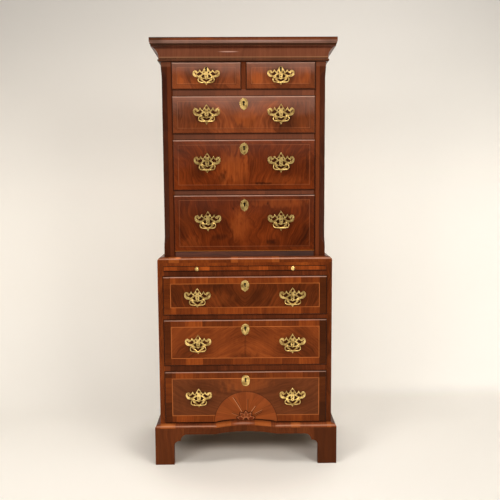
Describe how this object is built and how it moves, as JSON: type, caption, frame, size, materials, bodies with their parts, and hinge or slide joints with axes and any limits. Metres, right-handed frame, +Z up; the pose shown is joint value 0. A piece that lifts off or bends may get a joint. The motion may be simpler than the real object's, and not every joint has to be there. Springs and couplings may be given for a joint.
{
  "type": "chest-on-chest",
  "caption": "Tall walnut chest-on-chest: lipped drawers with brass bail handles, a brushing slide, a hollowed sunburst in the lowest drawer, a moulded cornice and bracket feet.",
  "frame": {"origin": "on the floor, under the middle of the whole piece's bounding box", "axes": "+X to the viewer's right across the front, +Y from the front to the back, +Z up"},
  "size_m": [0.803, 0.477, 1.847],
  "materials": {
    "walnut_veneer": "waxed gloss",
    "walnut_solid": "waxed gloss",
    "oak": "bare, aged",
    "pine": "bare, aged",
    "brass": "polished, mellow",
    "iron": "dull"
  },
  "bodies": {
    "carcase": {"back_boards": "pine", "bracket_feet": "walnut_solid", "corner_posts": "walnut_solid", "cornice": "walnut_solid", "drawer_runners": "oak", "end_boards": "pine", "foot_blocks": "pine", "front_rails": "walnut_solid", "lower_sides": "walnut_veneer", "plinth_moulding": "walnut_solid", "upper_sides": "walnut_veneer", "waist_moulding": "walnut_solid"},
    "slide": {"brushing_slide": "walnut_veneer", "slide_knobs": "brass"},
    "lower_drawer_1": {"lower_drawer_1_front": "walnut_veneer", "lower_drawer_1_box": "oak", "lower_drawer_1_brasses": "brass"},
    "lower_drawer_1_lock_bolt": {"lower_drawer_1_bolt": "iron"},
    "lower_drawer_1_left_bail_swing": {"lower_drawer_1_left_bail": "brass"},
    "lower_drawer_1_right_bail_swing": {"lower_drawer_1_right_bail": "brass"},
    "lower_drawer_2": {"lower_drawer_2_front": "walnut_veneer", "lower_drawer_2_box": "oak", "lower_drawer_2_brasses": "brass"},
    "lower_drawer_2_lock_bolt": {"lower_drawer_2_bolt": "iron"},
    "lower_drawer_2_left_bail_swing": {"lower_drawer_2_left_bail": "brass"},
    "lower_drawer_2_right_bail_swing": {"lower_drawer_2_right_bail": "brass"},
    "lower_drawer_3": {"lower_drawer_3_front": "walnut_veneer", "lower_drawer_3_box": "oak", "lower_drawer_3_brasses": "brass"},
    "lower_drawer_3_lock_bolt": {"lower_drawer_3_bolt": "iron"},
    "lower_drawer_3_left_bail_swing": {"lower_drawer_3_left_bail": "brass"},
    "lower_drawer_3_right_bail_swing": {"lower_drawer_3_right_bail": "brass"},
    "upper_drawer_1": {"upper_drawer_1_front": "walnut_veneer", "upper_drawer_1_box": "oak", "upper_drawer_1_brasses": "brass"},
    "upper_drawer_1_lock_bolt": {"upper_drawer_1_bolt": "iron"},
    "upper_drawer_1_left_bail_swing": {"upper_drawer_1_left_bail": "brass"},
    "upper_drawer_1_right_bail_swing": {"upper_drawer_1_right_bail": "brass"},
    "upper_drawer_2": {"upper_drawer_2_front": "walnut_veneer", "upper_drawer_2_box": "oak", "upper_drawer_2_brasses": "brass"},
    "upper_drawer_2_lock_bolt": {"upper_drawer_2_bolt": "iron"},
    "upper_drawer_2_left_bail_swing": {"upper_drawer_2_left_bail": "brass"},
    "upper_drawer_2_right_bail_swing": {"upper_drawer_2_right_bail": "brass"},
    "upper_drawer_3": {"upper_drawer_3_front": "walnut_veneer", "upper_drawer_3_box": "oak", "upper_drawer_3_brasses": "brass"},
    "upper_drawer_3_lock_bolt": {"upper_drawer_3_bolt": "iron"},
    "upper_drawer_3_left_bail_swing": {"upper_drawer_3_left_bail": "brass"},
    "upper_drawer_3_right_bail_swing": {"upper_drawer_3_right_bail": "brass"},
    "short_drawer_left": {"short_drawer_left_front": "walnut_veneer", "short_drawer_left_box": "oak", "short_drawer_left_brasses": "brass"},
    "short_drawer_left_lock_bolt": {"short_drawer_left_bolt": "iron"},
    "short_drawer_left_bail_swing": {"short_drawer_left_bail": "brass"},
    "short_drawer_right": {"short_drawer_right_front": "walnut_veneer", "short_drawer_right_box": "oak", "short_drawer_right_brasses": "brass"},
    "short_drawer_right_lock_bolt": {"short_drawer_right_bolt": "iron"},
    "short_drawer_right_bail_swing": {"short_drawer_right_bail": "brass"}
  },
  "joints": [
    {"name": "slide_pull", "type": "slide", "parent": "carcase", "child": "slide", "axis": [0, -1, 0], "range_m": [0, 0.28]},
    {"name": "lower_drawer_1_pull", "type": "slide", "parent": "carcase", "child": "lower_drawer_1", "axis": [0, -1, 0], "range_m": [0, 0.32]},
    {"name": "lower_drawer_1_bolt_throw", "type": "slide", "parent": "lower_drawer_1", "child": "lower_drawer_1_lock_bolt", "axis": [0, 0, 1], "range_m": [0, 0.009]},
    {"name": "lower_drawer_1_left_bail_hinge", "type": "hinge", "parent": "lower_drawer_1", "child": "lower_drawer_1_left_bail_swing", "pos_m": [-0.20725, -0.2311, 0.73885], "axis": [-1, 0, 0], "range_deg": [0, 95]},
    {"name": "lower_drawer_1_right_bail_hinge", "type": "hinge", "parent": "lower_drawer_1", "child": "lower_drawer_1_right_bail_swing", "pos_m": [0.20725, -0.2311, 0.73885], "axis": [-1, 0, 0], "range_deg": [0, 95]},
    {"name": "lower_drawer_2_pull", "type": "slide", "parent": "carcase", "child": "lower_drawer_2", "axis": [0, -1, 0], "range_m": [0, 0.32]},
    {"name": "lower_drawer_2_bolt_throw", "type": "slide", "parent": "lower_drawer_2", "child": "lower_drawer_2_lock_bolt", "axis": [0, 0, 1], "range_m": [0, 0.009]},
    {"name": "lower_drawer_2_left_bail_hinge", "type": "hinge", "parent": "lower_drawer_2", "child": "lower_drawer_2_left_bail_swing", "pos_m": [-0.20725, -0.2311, 0.53235], "axis": [-1, 0, 0], "range_deg": [0, 95]},
    {"name": "lower_drawer_2_right_bail_hinge", "type": "hinge", "parent": "lower_drawer_2", "child": "lower_drawer_2_right_bail_swing", "pos_m": [0.20725, -0.2311, 0.53235], "axis": [-1, 0, 0], "range_deg": [0, 95]},
    {"name": "lower_drawer_3_pull", "type": "slide", "parent": "carcase", "child": "lower_drawer_3", "axis": [0, -1, 0], "range_m": [0, 0.32]},
    {"name": "lower_drawer_3_bolt_throw", "type": "slide", "parent": "lower_drawer_3", "child": "lower_drawer_3_lock_bolt", "axis": [0, 0, 1], "range_m": [0, 0.009]},
    {"name": "lower_drawer_3_left_bail_hinge", "type": "hinge", "parent": "lower_drawer_3", "child": "lower_drawer_3_left_bail_swing", "pos_m": [-0.20725, -0.2311, 0.29035], "axis": [-1, 0, 0], "range_deg": [0, 95]},
    {"name": "lower_drawer_3_right_bail_hinge", "type": "hinge", "parent": "lower_drawer_3", "child": "lower_drawer_3_right_bail_swing", "pos_m": [0.20725, -0.2311, 0.29035], "axis": [-1, 0, 0], "range_deg": [0, 95]},
    {"name": "upper_drawer_1_pull", "type": "slide", "parent": "carcase", "child": "upper_drawer_1", "axis": [0, -1, 0], "range_m": [0, 0.3]},
    {"name": "upper_drawer_1_bolt_throw", "type": "slide", "parent": "upper_drawer_1", "child": "upper_drawer_1_lock_bolt", "axis": [0, 0, 1], "range_m": [0, 0.009]},
    {"name": "upper_drawer_1_left_bail_hinge", "type": "hinge", "parent": "upper_drawer_1", "child": "upper_drawer_1_left_bail_swing", "pos_m": [-0.15875, -0.2051, 1.52635], "axis": [-1, 0, 0], "range_deg": [0, 95]},
    {"name": "upper_drawer_1_right_bail_hinge", "type": "hinge", "parent": "upper_drawer_1", "child": "upper_drawer_1_right_bail_swing", "pos_m": [0.15875, -0.2051, 1.52635], "axis": [-1, 0, 0], "range_deg": [0, 95]},
    {"name": "upper_drawer_2_pull", "type": "slide", "parent": "carcase", "child": "upper_drawer_2", "axis": [0, -1, 0], "range_m": [0, 0.3]},
    {"name": "upper_drawer_2_bolt_throw", "type": "slide", "parent": "upper_drawer_2", "child": "upper_drawer_2_lock_bolt", "axis": [0, 0, 1], "range_m": [0, 0.009]},
    {"name": "upper_drawer_2_left_bail_hinge", "type": "hinge", "parent": "upper_drawer_2", "child": "upper_drawer_2_left_bail_swing", "pos_m": [-0.15875, -0.2051, 1.3216], "axis": [-1, 0, 0], "range_deg": [0, 95]},
    {"name": "upper_drawer_2_right_bail_hinge", "type": "hinge", "parent": "upper_drawer_2", "child": "upper_drawer_2_right_bail_swing", "pos_m": [0.15875, -0.2051, 1.3216], "axis": [-1, 0, 0], "range_deg": [0, 95]},
    {"name": "upper_drawer_3_pull", "type": "slide", "parent": "carcase", "child": "upper_drawer_3", "axis": [0, -1, 0], "range_m": [0, 0.3]},
    {"name": "upper_drawer_3_bolt_throw", "type": "slide", "parent": "upper_drawer_3", "child": "upper_drawer_3_lock_bolt", "axis": [0, 0, 1], "range_m": [0, 0.009]},
    {"name": "upper_drawer_3_left_bail_hinge", "type": "hinge", "parent": "upper_drawer_3", "child": "upper_drawer_3_left_bail_swing", "pos_m": [-0.15875, -0.2051, 1.07085], "axis": [-1, 0, 0], "range_deg": [0, 95]},
    {"name": "upper_drawer_3_right_bail_hinge", "type": "hinge", "parent": "upper_drawer_3", "child": "upper_drawer_3_right_bail_swing", "pos_m": [0.15875, -0.2051, 1.07085], "axis": [-1, 0, 0], "range_deg": [0, 95]},
    {"name": "short_drawer_left_pull", "type": "slide", "parent": "carcase", "child": "short_drawer_left", "axis": [0, -1, 0], "range_m": [0, 0.3]},
    {"name": "short_drawer_left_bolt_throw", "type": "slide", "parent": "short_drawer_left", "child": "short_drawer_left_lock_bolt", "axis": [0, 0, 1], "range_m": [0, 0.009]},
    {"name": "short_drawer_left_bail_hinge", "type": "hinge", "parent": "short_drawer_left", "child": "short_drawer_left_bail_swing", "pos_m": [-0.158, -0.2051, 1.68775], "axis": [-1, 0, 0], "range_deg": [0, 95]},
    {"name": "short_drawer_right_pull", "type": "slide", "parent": "carcase", "child": "short_drawer_right", "axis": [0, -1, 0], "range_m": [0, 0.3]},
    {"name": "short_drawer_right_bolt_throw", "type": "slide", "parent": "short_drawer_right", "child": "short_drawer_right_lock_bolt", "axis": [0, 0, 1], "range_m": [0, 0.009]},
    {"name": "short_drawer_right_bail_hinge", "type": "hinge", "parent": "short_drawer_right", "child": "short_drawer_right_bail_swing", "pos_m": [0.158, -0.2051, 1.68775], "axis": [-1, 0, 0], "range_deg": [0, 95]}
  ]
}
